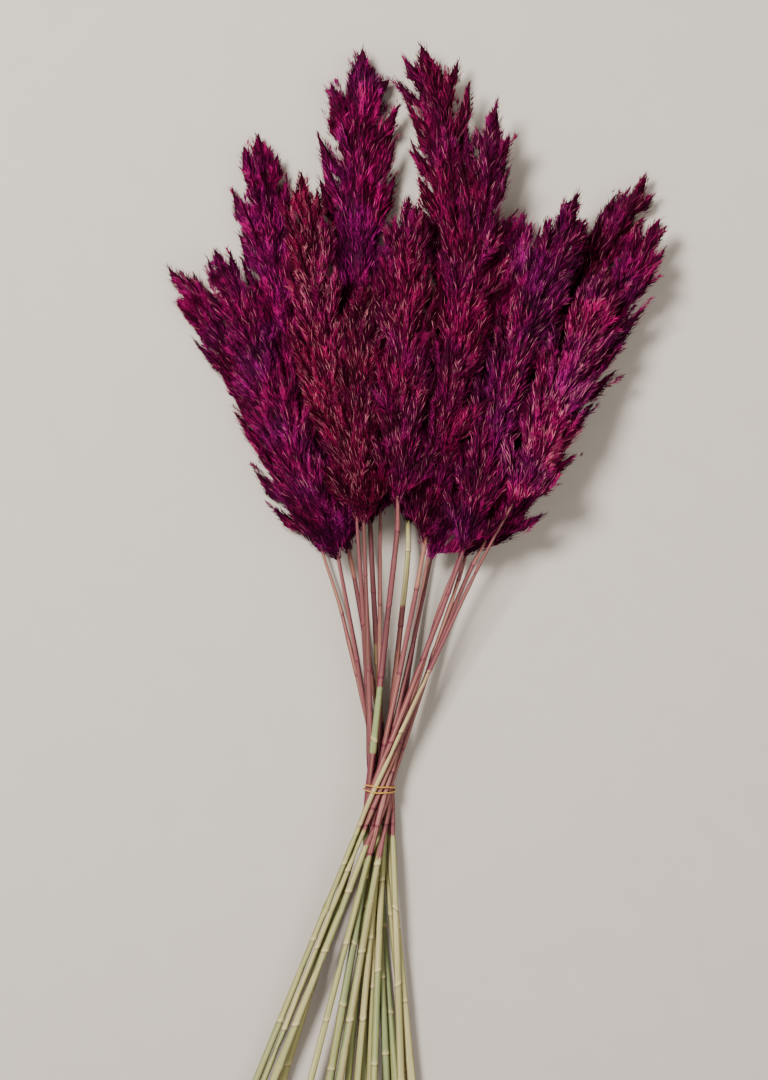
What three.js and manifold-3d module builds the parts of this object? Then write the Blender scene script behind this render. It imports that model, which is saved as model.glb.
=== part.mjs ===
// A bundle of seventeen dyed plumes of pampas grass, held by one elastic band and lying on its side.
// Sizes are in millimetres. X runs across the bundle, Y from the cut ends to the tips and Z up.
import * as THREE from "three";
import { mergeVertices } from "three/addons/utils/BufferGeometryUtils.js";
import Module from "manifold-3d";

const wasm = await Module();
wasm.setup();

// Heights along the bundle
const TIE_Y = -149;
const DIP_LINE_Y = -183;
const SPREAD_Y = 18;
const FOOT_Y = -364;
const TIP_END_Y = 408;
const CUT_END_Y = -408;

// The tie
const TIE_X = -25;
const TIE_Z = 16;
const FOOT_Z = 11;
const TWIST_ABOVE = 0.0275;
const TWIST_BELOW = 0.0237;
const TIE_LEAN = 8;
const BAND_RADIUS = 0.65;
const BAND_SPREAD = 2.2;
const BAND_CROSSING = 1.7;
const BAND_SIDES = 5;
const BAND_STEPS = 56;

// Clearances
const GAP = 0.35;
const STEM_CLEARANCE = 0.45;

// Stems
const STEM_SIDES = 5;
const JOINT_MIN = 44;
const JOINT_MAX = 74;
const JOINT_SWELL = 1.13;
const JOINT_LENGTH = 1.6;
const CLEAR_OF_BAND = 10;
const RING_NEAR_TIE = 13;
const TIE_REACH = 40;

// Plumes
const LAYER_HEIGHT = 20;
const LOWEST_LAYER = 11;
const FLATNESS = 0.48;
const BLUNT = 5.2;
const CROWN = 0.12;
const CORE_SIDES = 5;
const CORE_SHARE = 0.42;
const TUFT_SPACING = 8.7;
const TUFT_SIDES = 3;
const GOLDEN_ANGLE = Math.PI * (3 - Math.sqrt(5));

// Colours
const MAGENTA = 0x74104f;
const PURPLE = 0x5e1254;
const BURGUNDY = 0x66123c;
const DUSTY = 0x7a2446;
const DYED_STEM = 0xa2646a;
const PLAIN_STEM = 0xb5ae78;
const BAND_COLOUR = 0xe0b24a;

// One row for each reed: where the plume's tip, middle and base lie, where the stem is at SPREAD_Y and at
// FOOT_Y, half the plume's width, how much of that is left at its tip if it isn't CROWN, how high it lies in
// the pile, the stem's radius at its foot and at the top, where it was cut, the plume's colour, and where the
// random draw of its tufts starts.
const REEDS = [
  {
    name: "01", tip: [-184, 240], middle: [-111, 134], base: [-69, 25], spread: -62.5, foot: -1.9,
    halfWidth: 24, layer: 0, radii: [3.1, 1.3], cut: -396, colour: MAGENTA, draw: 1340,
  },
  {
    name: "02", tip: [-149, 253], middle: [-102, 140], base: [-55, 21], spread: -54, foot: -5.5,
    halfWidth: 24, layer: 1, radii: [2.0, 1.6], cut: -401, colour: PURPLE, draw: 1341,
  },
  {
    name: "03", tip: [-117, 341], middle: [-96, 191], base: [-47, 25], spread: -46, foot: -9.5,
    halfWidth: 33, layer: 0, radii: [2.6, 1.7], cut: -392, colour: MAGENTA, draw: 4842,
  },
  {
    name: "04", tip: [-84, 308], middle: [-65, 176], base: [-43, 49], spread: -39.5, foot: -14.5,
    halfWidth: 25, layer: 1.4, radii: [3.1, 1.6], cut: -404, colour: DUSTY, draw: 2443,
  },
  {
    name: "05", tip: [-38, 404], middle: [-42, 228], base: [-34, 47], spread: -31.3, foot: -29.6,
    halfWidth: 37, crown: 0.5, layer: 0.2, radii: [2.5, 2.0], cut: -398, colour: MAGENTA, draw: 4444,
  },
  {
    name: "06", tip: [4, 405], middle: [29, 264], base: [-1.5, 47], spread: -5, foot: -41.8,
    halfWidth: 30, crown: 0.8, layer: 0.7, radii: [2.5, 2.0], cut: -404, colour: BURGUNDY, draw: 3945,
  },
  {
    name: "07", tip: [61, 359], middle: [38, 213], base: [8, 32], spread: 5.5, foot: -48.6,
    halfWidth: 30, layer: 1.3, radii: [2.6, 1.7], cut: -394, colour: BURGUNDY, draw: 6646,
  },
  {
    name: "08", tip: [82, 280], middle: [49, 151], base: [12, 21], spread: 12.5, foot: -62.2,
    halfWidth: 28, layer: 0.6, radii: [3.2, 1.3], cut: -400, colour: PURPLE, draw: 1747,
  },
  {
    name: "09", tip: [122, 292], middle: [76, 172], base: [36, 26], spread: 33.3, foot: -97.7,
    halfWidth: 28, layer: 1.6, radii: [3.9, 1.7], cut: -391, colour: PURPLE, draw: 848,
  },
  {
    name: "10", tip: [177, 308], middle: [100, 176], base: [40, 28], spread: 37.6, foot: -103.5,
    halfWidth: 29, layer: 0, radii: [3.0, 1.6], cut: -402, colour: BURGUNDY, draw: 3249,
  },
  {
    name: "11", tip: [184, 275], middle: [120, 154], base: [50, 32], spread: 43, foot: -110.6,
    halfWidth: 27, layer: 1, radii: [2.2, 1.7], cut: -396, colour: PURPLE, draw: 950,
  },
  {
    name: "12", tip: [144, 231], middle: [105, 140], base: [70, 60], spread: 47.8, foot: -116.2,
    halfWidth: 26, layer: 2, radii: [2.8, 1.3], cut: -404, colour: MAGENTA, draw: 851,
  },
  {
    name: "13", tip: [-33, 225], middle: [-40, 132], base: [-37, 47], spread: -36, foot: -20,
    halfWidth: 21, layer: 2, radii: [2.8, 1.5], cut: -390, colour: DUSTY, draw: 1352,
  },
  {
    name: "14", tip: [-4, 288], middle: [-8, 169], base: [-10, 62], spread: -15.3, foot: -37,
    halfWidth: 26, layer: 2.1, radii: [3.2, 2.0], cut: -399, colour: BURGUNDY, draw: 2553,
  },
  {
    name: "15", tip: [-22, 241], middle: [-23, 150], base: [-25, 54], spread: -25.2, foot: -33,
    halfWidth: 22, layer: 1, radii: [2.0, 1.4], cut: -403, colour: MAGENTA, draw: 1354,
  },
  {
    name: "16", tip: [41, 250], middle: [27, 140], base: [13, 34], spread: 9.3, foot: -55,
    halfWidth: 22, layer: 0, radii: [3.1, 1.4], cut: -397, colour: MAGENTA, draw: 1355,
  },
  {
    name: "17", tip: [120, 152], middle: [78, 84], base: [32, 24], spread: 28.6, foot: -76.2,
    halfWidth: 22, layer: 0.4, radii: [2.5, 1.6], cut: -405, colour: PURPLE, draw: 5556,
  },
];

function makeRandom(seed) {
  let state = seed;
  return function random() {
    state = (state + 0x6d2b79f5) | 0;
    let mixed = Math.imul(state ^ (state >>> 15), 1 | state);
    mixed = (mixed + Math.imul(mixed ^ (mixed >>> 7), 61 | mixed)) ^ mixed;
    return ((mixed ^ (mixed >>> 14)) >>> 0) / 4294967296;
  };
}

const lerp = THREE.MathUtils.lerp;
const smoothstep = THREE.MathUtils.smoothstep;

// Solids and meshes

function toSolid(geometry) {
  const bare = geometry.clone();
  bare.deleteAttribute("normal");
  bare.deleteAttribute("uv");
  const merged = mergeVertices(bare, 1e-4);
  return new wasm.Manifold(
    new wasm.Mesh({
      numProp: 3,
      vertProperties: new Float32Array(merged.attributes.position.array),
      triVerts: new Uint32Array(merged.index.array),
    }),
  );
}

// Tufts that lean together can shut in a small void. Only the outer skin is kept, which fills it.
function outerShell(solid) {
  const shells = solid.decompose();
  return shells.reduce((largest, shell) => (shell.volume() > largest.volume() ? shell : largest));
}

function toMesh(solid, name, colour, roughness) {
  const data = solid.getMesh();
  const geometry = new THREE.BufferGeometry();
  geometry.setAttribute("position", new THREE.BufferAttribute(data.vertProperties, 3));
  geometry.setIndex(new THREE.BufferAttribute(data.triVerts, 1));
  geometry.computeVertexNormals();
  const material = new THREE.MeshStandardMaterial({ color: colour, roughness, metalness: 0 });
  const mesh = new THREE.Mesh(geometry, material);
  mesh.name = name;
  return mesh;
}

function moveVertices(geometry, place) {
  const position = geometry.attributes.position;
  const vertex = new THREE.Vector3();
  for (let i = 0; i < position.count; i += 1) {
    vertex.fromBufferAttribute(position, i);
    const moved = place(vertex);
    position.setXYZ(i, moved.x, moved.y, moved.z);
  }
  return geometry;
}

// The lie of each reed: stations along Y, with the centre of every reed at each of them.

const STATION = 8;
const STATIONS = Math.round((TIP_END_Y - CUT_END_Y) / STATION) + 1;

function stationY(index) {
  return CUT_END_Y + index * STATION;
}

// The parabola through a plume's base, middle and tip
function plumeX(reed, y) {
  const [x0, y0] = reed.base;
  const [x1, y1] = reed.middle;
  const [x2, y2] = reed.tip;
  const toBase = ((y - y1) * (y - y2)) / ((y0 - y1) * (y0 - y2));
  const toMiddle = ((y - y0) * (y - y2)) / ((y1 - y0) * (y1 - y2));
  const toTip = ((y - y0) * (y - y1)) / ((y2 - y0) * (y2 - y1));
  return x0 * toBase + x1 * toMiddle + x2 * toTip;
}

// How full a plume is at a share of the way from its base to its tip
function fullness(reed, share) {
  const rise = lerp(0.4, 1, smoothstep(share, -0.06, 0.14));
  const fall = Math.pow(Math.max(0, 1 - Math.pow(share, BLUNT)), 0.6);
  return rise * lerp(reed.crown ?? CROWN, 1, fall);
}

function plumeShare(reed, y) {
  return (y - reed.base[1]) / (reed.tip[1] - reed.base[1]);
}

function stemRadius(reed, y) {
  return lerp(reed.radii[0], reed.radii[1], (y - FOOT_Y) / (SPREAD_Y - FOOT_Y));
}

// Half the width and half the height that a reed needs at a station, so that none lies in another
function roomFor(reed, y) {
  const share = plumeShare(reed, y);
  const stem = stemRadius(reed, Math.min(y, reed.base[1])) * JOINT_SWELL + STEM_CLEARANCE / 2;
  if (share < -0.02) {
    return [stem, stem];
  }
  const slope = (plumeX(reed, y + 1) - plumeX(reed, y - 1)) / 2;
  const full = fullness(reed, THREE.MathUtils.clamp(share, 0, 1));
  const width = reed.halfWidth * full * 0.66 * Math.hypot(1, slope);
  const height = reed.halfWidth * FLATNESS * full * 0.8;
  return [Math.max(stem, width), Math.max(stem, height)];
}

function startTie(reed) {
  const across = (1.0 - reed.layer) * TIE_LEAN;
  const spreadCentre = -7.4;
  const reach = TWIST_ABOVE * (SPREAD_Y - TIE_Y);
  return [across, (reed.spread - spreadCentre - across) / reach];
}

// Packs the stems side by side inside the band
function packTie() {
  const held = REEDS.map(startTie);
  const radius = REEDS.map((reed) => stemRadius(reed, TIE_Y) * JOINT_SWELL + STEM_CLEARANCE / 2);
  for (let round = 0; round < 600; round += 1) {
    for (const spot of held) {
      spot[0] *= 0.992;
      spot[1] *= 0.994;
    }
    for (let i = 0; i < held.length; i += 1) {
      for (let j = 0; j < i; j += 1) {
        const dx = held[i][0] - held[j][0];
        const dz = held[i][1] - held[j][1];
        const distance = Math.hypot(dx, dz) || 1e-6;
        const short = radius[i] + radius[j] - distance;
        if (short > 0) {
          const push = (0.5 * short) / distance;
          held[i][0] += dx * push;
          held[i][1] += dz * push;
          held[j][0] -= dx * push;
          held[j][1] -= dz * push;
        }
      }
    }
  }
  return held;
}

function startLie(reed, held) {
  const xs = [];
  const zs = [];
  const [across, up] = held;
  const tieX = TIE_X + across;
  for (let s = 0; s < STATIONS; s += 1) {
    const y = stationY(s);
    const fromTie = y - TIE_Y;
    const turn = fromTie * (fromTie > 0 ? TWIST_ABOVE : TWIST_BELOW);
    let x = 0;
    if (y < TIE_Y) {
      x = lerp(tieX, reed.foot, fromTie / (FOOT_Y - TIE_Y));
    } else if (y < SPREAD_Y) {
      x = lerp(tieX, reed.spread, fromTie / (SPREAD_Y - TIE_Y));
    } else if (y < reed.base[1]) {
      x = lerp(reed.spread, reed.base[0], (y - SPREAD_Y) / (reed.base[1] - SPREAD_Y));
    } else {
      x = plumeX(reed, Math.min(y, reed.tip[1]));
    }
    const axisZ = lerp(TIE_Z, FOOT_Z, THREE.MathUtils.clamp(fromTie / (FOOT_Y - TIE_Y), 0, 1));
    const twisted = axisZ + (up - across * turn) / Math.hypot(1, turn);
    const layered = LOWEST_LAYER + LAYER_HEIGHT * reed.layer;
    const share = smoothstep(y, TIE_Y, reed.base[1] + 40);
    xs.push(x);
    zs.push(lerp(twisted, layered, share));
  }
  return { xs, zs, aimX: [...xs], aimZ: [...zs] };
}

function settleLie() {
  const held = packTie();
  const lies = REEDS.map((reed, i) => startLie(reed, held[i]));
  const room = REEDS.map((reed) => {
    return Array.from({ length: STATIONS }, (_, s) => roomFor(reed, stationY(s)));
  });
  const last = REEDS.map((reed) => Math.min(STATIONS - 1, Math.ceil((reed.tip[1] - CUT_END_Y) / STATION)));
  const rounds = 700;
  for (let round = 0; round < rounds; round += 1) {
    const easing = round < rounds - 60;
    lies.forEach((lie, i) => {
      for (let s = 1; s < last[i]; s += 1) {
        const near = Math.abs(stationY(s) - TIE_Y) < 20;
        if (easing && !near) {
          const bendX = (lie.xs[s - 1] + lie.xs[s + 1]) / 2 - lie.xs[s];
          const bendZ = (lie.zs[s - 1] + lie.zs[s + 1]) / 2 - lie.zs[s];
          lie.xs[s] += 0.3 * bendX + 0.12 * (lie.aimX[s] - lie.xs[s]);
          lie.zs[s] += 0.4 * bendZ + 0.015 * (lie.aimZ[s] - lie.zs[s]);
        }
      }
    });
    for (let s = 0; s < STATIONS; s += 1) {
      for (let i = 0; i < lies.length; i += 1) {
        for (let j = 0; j < i; j += 1) {
          if (s > last[i] || s > last[j]) {
            continue;
          }
          const wide = room[i][s][0] + room[j][s][0];
          const high = room[i][s][1] + room[j][s][1];
          const dx = lies[i].xs[s] - lies[j].xs[s];
          const dz = lies[i].zs[s] - lies[j].zs[s];
          const distance = Math.hypot(dx / wide, dz / high) || 1e-6;
          if (distance < 1) {
            const push = (0.5 * (1 - distance)) / distance;
            lies[i].xs[s] += dx * push * 0.5;
            lies[j].xs[s] -= dx * push * 0.5;
            lies[i].zs[s] += dz * push;
            lies[j].zs[s] -= dz * push;
          }
        }
      }
      lies.forEach((lie, i) => {
        lie.zs[s] = Math.max(lie.zs[s], room[i][s][1]);
      });
    }
  }
  return lies;
}

function pointAt(lie, y) {
  const place = THREE.MathUtils.clamp((y - CUT_END_Y) / STATION, 0, STATIONS - 1.001);
  const s = Math.floor(place);
  const part = place - s;
  return new THREE.Vector3(lerp(lie.xs[s], lie.xs[s + 1], part), y, lerp(lie.zs[s], lie.zs[s + 1], part));
}

// Stems

function jointHeights(reed, random) {
  const heights = [];
  let y = reed.cut + lerp(12, JOINT_MIN, random());
  while (y < reed.base[1] - 12) {
    if (Math.abs(y - TIE_Y) > CLEAR_OF_BAND && Math.abs(y - DIP_LINE_Y) > CLEAR_OF_BAND / 2) {
      heights.push(y);
    }
    y += lerp(JOINT_MIN, JOINT_MAX, random());
  }
  return heights;
}

function ringHeights(from, to, joints) {
  const heights = [from, to];
  for (const joint of joints) {
    if (joint > from + 4 && joint < to - 4) {
      heights.push(joint - JOINT_LENGTH, joint);
    }
  }
  for (let y = TIE_Y - TIE_REACH; y <= TIE_Y + TIE_REACH; y += RING_NEAR_TIE) {
    const inside = y > from && y < to;
    if (inside && heights.every((height) => Math.abs(height - y) > 5)) {
      heights.push(y);
    }
  }
  return heights.sort((a, b) => a - b);
}

// A stem is thickest at the top of each joint and narrows evenly to just below the next one.
function stemSolid(reed, lie, from, to, joints, turn) {
  const profile = [new THREE.Vector2(0, from)];
  for (const y of ringHeights(from, to, joints)) {
    const atJoint = joints.some((joint) => Math.abs(joint - y) < 0.01);
    profile.push(new THREE.Vector2(stemRadius(reed, y) * (atJoint ? JOINT_SWELL : 1), y));
  }
  profile.push(new THREE.Vector2(0, to));
  const stem = new THREE.LatheGeometry(profile, STEM_SIDES, turn);
  return toSolid(
    moveVertices(stem, (vertex) => {
      const centre = pointAt(lie, vertex.y);
      return new THREE.Vector3(centre.x + vertex.x, vertex.y, centre.z + vertex.z);
    }),
  );
}

// Plumes

function plumeCurve(reed, lie) {
  const points = [];
  const [, baseY] = reed.base;
  const [, tipY] = reed.tip;
  const steps = 14;
  for (let i = 0; i <= steps; i += 1) {
    points.push(pointAt(lie, lerp(baseY, tipY, i / steps)));
  }
  return new THREE.CatmullRomCurve3(points);
}

function crossAxes(tangent) {
  const side = new THREE.Vector3(tangent.y, -tangent.x, 0).normalize();
  const rise = new THREE.Vector3().crossVectors(side, tangent).normalize();
  return [side, rise];
}

function sweep(profile, sides, curve, length, flatness) {
  const lathe = new THREE.LatheGeometry(profile, sides, 0.3);
  return moveVertices(lathe, (vertex) => {
    const share = THREE.MathUtils.clamp(vertex.y / length, 0, 1);
    const tangent = curve.getTangent(share);
    const [side, rise] = crossAxes(tangent);
    return curve
      .getPoint(share)
      .addScaledVector(side, vertex.x)
      .addScaledVector(rise, vertex.z * flatness);
  });
}

function coreSolid(reed, curve) {
  const length = curve.getLength();
  const shares = [0, 0.1, 0.26, 0.5, 0.74, 0.93];
  const profile = [new THREE.Vector2(0, 0)];
  for (const share of shares) {
    const radius = Math.max(CORE_SHARE * reed.halfWidth * fullness(reed, share), 1.1);
    profile.push(new THREE.Vector2(share === 0 ? reed.radii[1] * 1.2 : radius, share * length));
  }
  profile.push(new THREE.Vector2(0, length));
  return toSolid(sweep(profile, CORE_SIDES, curve, length, FLATNESS + 0.12));
}

function tuftShape(reed, curve, draw, inward) {
  const length = curve.getLength();
  const root = draw.root;
  const tipShare = Math.min(root + (draw.length * inward.reach) / length, draw.limit);
  const midShare = lerp(root, tipShare, 0.45);
  const tangent = curve.getTangent(tipShare);
  const [side, rise] = crossAxes(tangent);
  const out = reed.halfWidth * draw.spread * inward.spread;
  const sideways = Math.cos(draw.angle);
  const outward = new THREE.Vector3()
    .addScaledVector(side, Math.sign(sideways) * Math.pow(Math.abs(sideways), 0.6))
    .addScaledVector(rise, Math.sin(draw.angle) * FLATNESS);
  const start = curve.getPoint(root);
  const bend = curve.getPoint(midShare).addScaledVector(outward, out * fullness(reed, midShare) * 0.8);
  const end = curve.getPoint(tipShare).addScaledVector(outward, out * fullness(reed, tipShare));
  end.z = Math.max(end.z, 0.3);
  bend.z = Math.max(bend.z, 4);
  return new THREE.QuadraticBezierCurve3(start, bend, end);
}

function tuftSolid(route, thickness, extra) {
  const length = route.getLength();
  const profile = [
    new THREE.Vector2(0, 0),
    new THREE.Vector2(thickness + extra, length * 0.52),
    new THREE.Vector2(0, length + extra),
  ];
  return toSolid(sweep(profile, TUFT_SIDES, route, length, 0.6));
}

const EASINGS = [
  { spread: 1, reach: 1 },
  { spread: 0.8, reach: 1 },
  { spread: 0.6, reach: 0.95 },
  { spread: 0.4, reach: 0.85 },
  { spread: 0.2, reach: 0.75 },
];

function boxOf(solid) {
  const { min, max } = solid.boundingBox();
  return new THREE.Box3(new THREE.Vector3(...min), new THREE.Vector3(...max));
}

function isClear(solid, others) {
  const box = boxOf(solid);
  return others.every((other) => {
    return !box.intersectsBox(other.box) || solid.intersect(other.solid).isEmpty();
  });
}

// The tufts stand round the stem by the golden angle and are shortest at the plume's base and tip. One
// that would cross another piece is bent towards its own stem until it is clear.
function plumeSolid(reed, curve, core, others) {
  const random = makeRandom(reed.draw);
  const length = curve.getLength();
  const count = Math.round(length / TUFT_SPACING);
  const near = others.filter((other) => {
    return other.box.intersectsBox(new THREE.Box3().setFromPoints(curve.getPoints(20)).expandByScalar(40));
  });
  let plume = core;
  for (let i = 0; i < count; i += 1) {
    const root = lerp(0.012, 0.93, (i + 0.6 * random()) / count);
    const draw = {
      root,
      angle: i * GOLDEN_ANGLE + 0.5 * random(),
      length: lerp(46, 66, random()) * lerp(0.55, 1, smoothstep(root, 0, 0.16)) * lerp(1, 0.75, root),
      spread: i === count - 1 ? 0 : lerp(0.8, 1.1, random()),
      limit: i === count - 1 ? 1 : lerp(0.9, 0.985, random()),
    };
    const thickness = lerp(6.0, 8.6, random()) * (reed.halfWidth / 28) * lerp(1, 0.75, root);
    for (const easing of EASINGS) {
      const route = tuftShape(reed, curve, draw, easing);
      if (isClear(tuftSolid(route, thickness, GAP), near)) {
        plume = plume.add(tuftSolid(route, thickness, 0));
        break;
      }
    }
  }
  return outerShell(plume);
}

// The band

// How far the held stems reach at a height in the direction that is faced, with the stem that reaches it
function outermost(lies, y, facing) {
  let best = { reach: -Infinity };
  REEDS.forEach((reed, i) => {
    for (const height of [y - BAND_RADIUS, y, y + BAND_RADIUS]) {
      const centre = pointAt(lies[i], height);
      const radius = stemRadius(reed, height);
      const reach = centre.x * facing.x + centre.z * facing.y + radius;
      if (reach > best.reach) {
        best = { reach, x: centre.x, z: centre.z, radius };
      }
    }
  });
  return best;
}

// The band goes twice round the stems and crosses over itself underneath.
function bandSolid(lies) {
  const points = [];
  for (let i = 0; i < BAND_STEPS; i += 1) {
    const turn = (i / BAND_STEPS) * 4 * Math.PI;
    const facing = new THREE.Vector2(Math.sin(turn), Math.cos(turn));
    const y = TIE_Y + BAND_SPREAD * Math.cos(turn / 2) - 0.8 * Math.sin(turn);
    const lift = BAND_CROSSING * Math.pow(Math.max(0, Math.sin(turn / 2)), 3);
    const held = outermost(lies, y, facing);
    const away = held.radius + BAND_RADIUS + GAP + lift;
    points.push(new THREE.Vector3(held.x + facing.x * away, y, held.z + facing.y * away));
  }
  const route = new THREE.CatmullRomCurve3(points, true, "centripetal");
  return toSolid(new THREE.TubeGeometry(route, BAND_STEPS, BAND_RADIUS, BAND_SIDES, true));
}

const lies = settleLie();
const curves = REEDS.map((reed, i) => plumeCurve(reed, lies[i]));
const bundle = new THREE.Group();
bundle.name = "pampas_bundle";
const made = [];

function keep(solid, name, colour, roughness) {
  made.push({ solid, box: boxOf(solid) });
  bundle.add(toMesh(solid, name, colour, roughness));
}

REEDS.forEach((reed, i) => {
  const random = makeRandom(500 + i);
  const joints = jointHeights(reed, random);
  const leaning = Math.sqrt(1 - Math.pow(curves[i].getTangent(0).y, 2));
  const top = reed.base[1] - GAP - 1.05 * reed.radii[1] * leaning;
  const turn = random() * 6;
  const dyed = stemSolid(reed, lies[i], DIP_LINE_Y + GAP / 2, top, joints, turn);
  const plain = stemSolid(reed, lies[i], reed.cut, DIP_LINE_Y - GAP / 2, joints, turn);
  keep(dyed, `stem_${reed.name}`, DYED_STEM, 0.6);
  keep(plain, `culm_${reed.name}`, PLAIN_STEM, 0.55);
});
keep(bandSolid(lies), "band", BAND_COLOUR, 0.5);

// The uppermost plumes are made first, so that those below give way to them.
const cores = REEDS.map((reed, i) => coreSolid(reed, curves[i]));
const waiting = REEDS.map((reed, i) => i).sort((a, b) => REEDS[b].layer - REEDS[a].layer);
while (waiting.length > 0) {
  const i = waiting.shift();
  const reed = REEDS[i];
  const uncovered = waiting.map((other) => ({ solid: cores[other], box: boxOf(cores[other]) }));
  const plume = plumeSolid(reed, curves[i], cores[i], [...made, ...uncovered]);
  keep(plume, `plume_${reed.name}`, reed.colour, 0.95);
}

// The lowest tufts and stem ends rest on the surface.
bundle.position.z = -Math.min(...made.map((piece) => piece.box.min.z));

export default bundle;
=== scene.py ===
"""The looks of a bundle of dyed pampas plumes, on the frame of its CAD model."""

import math

import bpy
import numpy as np
from mathutils.bvhtree import BVHTree
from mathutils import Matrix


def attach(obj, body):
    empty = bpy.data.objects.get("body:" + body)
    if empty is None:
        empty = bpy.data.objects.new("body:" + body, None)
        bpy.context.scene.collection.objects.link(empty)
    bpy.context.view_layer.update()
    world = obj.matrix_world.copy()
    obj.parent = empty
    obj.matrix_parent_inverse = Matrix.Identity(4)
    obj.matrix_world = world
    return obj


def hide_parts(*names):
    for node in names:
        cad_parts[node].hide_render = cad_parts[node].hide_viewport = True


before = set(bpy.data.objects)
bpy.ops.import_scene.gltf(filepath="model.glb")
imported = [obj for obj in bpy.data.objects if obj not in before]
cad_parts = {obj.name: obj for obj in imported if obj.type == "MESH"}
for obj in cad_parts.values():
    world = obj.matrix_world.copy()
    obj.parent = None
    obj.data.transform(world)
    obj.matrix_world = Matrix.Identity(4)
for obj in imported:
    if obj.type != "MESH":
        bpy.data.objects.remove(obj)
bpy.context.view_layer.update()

MM = 0.001
FLOOR_GAP = 0.4 * MM

# Decimals of a metre to which corners are welded, the corners of a ring are level and the steps of a stem are
# rounded, and the fewest corners that a ring has
WELD_DECIMALS = 6
RING_DECIMALS = 4
STEP_DECIMALS = 5
RING_CORNERS = 4

# Spikelets and hairs are narrow blades. Shares of a blade's length: where it is widest, how much lies below
# its spot, and how far along it each corner is coloured. It is folded by a share of its width, and rolls.
BLADE_WIDEST = 0.42
BLADE_SUNK = 0.3
BLADE_ALONG = (0.0, 0.45, 1.0, 0.45)
BLADE_FOLD = 0.3
BLADE_ROLL = 0.5
SPIKELET_LENGTH = (4.0 * MM, 7.6 * MM)
SPIKELET_WIDTH = (0.55 * MM, 0.95 * MM)
HAIR_LENGTH = (6 * MM, 12 * MM)
HAIR_WIDTH = (0.32 * MM, 0.50 * MM)

# An outer branch lies under the surface for a share of its length, and its middle and tip stand off it. At
# the plume's tip it is shorter by a share.
BRANCH_LENGTH = (18 * MM, 36 * MM)
BRANCH_SHORTENS = 0.35
BRANCH_SUNK = 0.55
BRANCH_MIDDLE_OFF = 1.4 * MM
BRANCH_TIP_OFF = 2.2 * MM

# An inner branch ends at a share of the plume's length and a share of the way out to the outline. Its bend
# lies at a share of both, its first part is bare, and it starts this far above the plume's base or more.
INNER_BRANCH_LENGTH = (28 * MM, 44 * MM)
INNER_BRANCH_TOPS = (0.05, 0.97)
INNER_BRANCH_OUT = (0.72, 0.96)
INNER_BRANCH_BEND = (0.55, 0.85)
INNER_BRANCH_BARE = 0.3
INNER_BRANCH_ROOM = 2 * MM

# The spikelets on a branch gather towards its tip by a power. They keep within a radius that narrows by a
# share, point away from the branch, and turn at random.
GATHERING = 0.8
BRANCH_RADIUS = 3.4 * MM
BRANCH_CORE = 0.2
BRANCH_NARROWS = 0.82
BRANCH_FLARE = 0.5
BRANCH_JITTER = 0.20

# How many there are, on a branch and to a metre of plume
SPIKELETS_ON_BRANCH = 84
BRANCHES_PER_METRE = 430
INNER_BRANCHES_PER_METRE = 300
SPIKELETS_PER_METRE = 27000
HAIRS_PER_METRE = 9000

# Spikelets point outwards, more so as they lie farther from the middle.
FLARE = 0.5
FLARE_REACH = 22 * MM
FLARE_MOST = 1.3

# Fewer grow on the underside: the chance there, how far a face that looks sideways counts as looking up, and
# how fast that grows as it turns up.
LOWER_CHANCE = 0.4
SIDEWAYS = 0.75
TURNING_UP = 1.5

# How far each kind lifts off the surface, and how much its direction varies
BRANCH_FLOW = {"lift": 0.10, "jitter": 0.13}
SPIKELET_FLOW = {"lift": 0.22, "jitter": 0.16}
HAIR_FLOW = {"lift": 0.36, "jitter": 0.18}

# How a plume's outline is read from its CAD solid: spots over its surface, in steps from base to tip, with
# this percentile of each step as the edge and a curve of this degree as the middle
OUTLINE_SPOTS = 6000
OUTLINE_STEPS = 18
OUTLINE_PERCENTILE = 94
AXIS_DEGREE = 3

# Spikelets over the surface and hairs are spread through this depth, and those spikelets tilt at random.
SURFACE_DEPTH = 2.4 * MM
SURFACE_TILT = 0.3

# A blade's own tone says how soon its tip fades: the most over the surface, and the range of the hairs.
SURFACE_OWN = 0.9
HAIR_OWN = (0.45, 1.0)

# A spikelet that starts a stray distance off the surface is left out if it has no more than this light. Any
# is left out that starts farther off, or that starts this far below the plume's base.
STRAY = 1.4 * MM
SHADED = 0.42
FARTHER = 3.3 * MM
HANG = 1.0 * MM

# Light on the blades, as shares. On a branch it grows from the root, is less on the lower side, and differs
# from branch to branch and from spikelet to spikelet.
ROOT_LIGHT = 0.08
LOWER_LOSS = 0.22
BRANCH_LIGHT = (0.66, 1.0)
SPIKELET_LIGHT = (0.62, 1.12)
SURFACE_LIGHT = (0.05, 0.45)
HAIR_LIGHT = (0.6, 1.0)

# Light falls off from a plume's crown to its sides, by the height above its middle, and towards its base.
CROWN_HEIGHTS = (-3 * MM, 10 * MM)
CROWN_LIGHT = (0.52, 1.14)
BASE_SHARE = 0.28
BASE_LIGHT = 0.58

# A blade whose root stands off the surface shows all its length, so its root gets more painted light and less
# of the painted root shade.
BARE_LIGHT = 0.55
BARE_ALONG = 0.4

# The dense inside of a plume lies this far under its surface, and its tone gives it painted shade.
INSIDE_DEPTH = 1.2 * MM
INSIDE_TONE = (0.3, 0.2, 0.15, 1.0)

# A stem's dyed length runs on into its plume, and its two lengths overlap where they meet. It has low ribs,
# turned by up to this angle.
STEM_SIDES = 14
STEM_STEP = 3.5 * MM
END_STEP = 0.05 * MM
IN_PLUME = 7 * MM
MEET_BELOW = 0.25 * MM
MEET_ABOVE = 0.3 * MM
RIBS = 5
RIB_HEIGHT = 0.02
RIB_TURN = 6

# The two lengths of a stem share a tone, and its sections differ from it by up to this much. Each stem takes
# its own stretch of the grain.
STEM_TONES = (0.2, 0.8)
TONE_SPREAD = 0.3
GRAIN_STRETCHES = 50

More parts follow.
